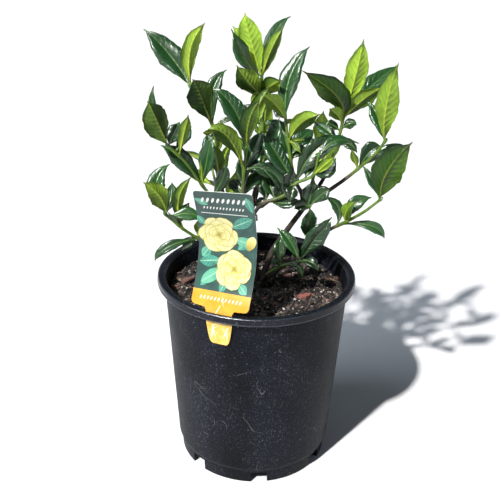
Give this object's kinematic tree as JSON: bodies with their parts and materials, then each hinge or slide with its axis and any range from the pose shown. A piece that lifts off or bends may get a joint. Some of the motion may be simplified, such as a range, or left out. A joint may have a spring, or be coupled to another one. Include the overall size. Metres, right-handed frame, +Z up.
{
  "type": "potted gardenia",
  "caption": "Young gardenia shrub with glossy waved leaves, growing in potting mix in a tapered black nursery pot, with a bowed plant label hung on the rim.",
  "frame": {"origin": "middle of the pot's underside, on the surface it stands on", "axes": "+Z up, the front with the label faces -Y, +X to the right of the front"},
  "size_m": [0.2499, 0.2154, 0.4555],
  "materials": {
    "pot_plastic": "moulded black plastic with a dull sheen and fine dust",
    "potting_mix": "crumbly dark bark and grit, fully rough",
    "label_plastic": "glossy printed card",
    "bark": "rough grey-brown young bark",
    "leaf": "glossy leathery leaves, paler and duller underneath"
  },
  "bodies": {
    "root": {"pot": "pot_plastic", "potting_mix": "potting_mix", "plant_label": "label_plastic", "woody_stems": "bark", "shoot_left_tall": "leaf", "shoot_left_middle": "leaf", "shoot_centre": "leaf", "shoot_top": "leaf", "shoot_centre_right": "leaf", "shoot_front": "leaf", "shoot_fork": "leaf", "shoot_right_back": "leaf", "shoot_right": "leaf", "shoot_right_low": "leaf", "shoot_left_low": "leaf", "shoot_front_low": "leaf", "shoot_back_left": "leaf", "shoot_back": "leaf", "shoot_back_right": "leaf", "shoot_back_low": "leaf"}
  },
  "joints": []
}
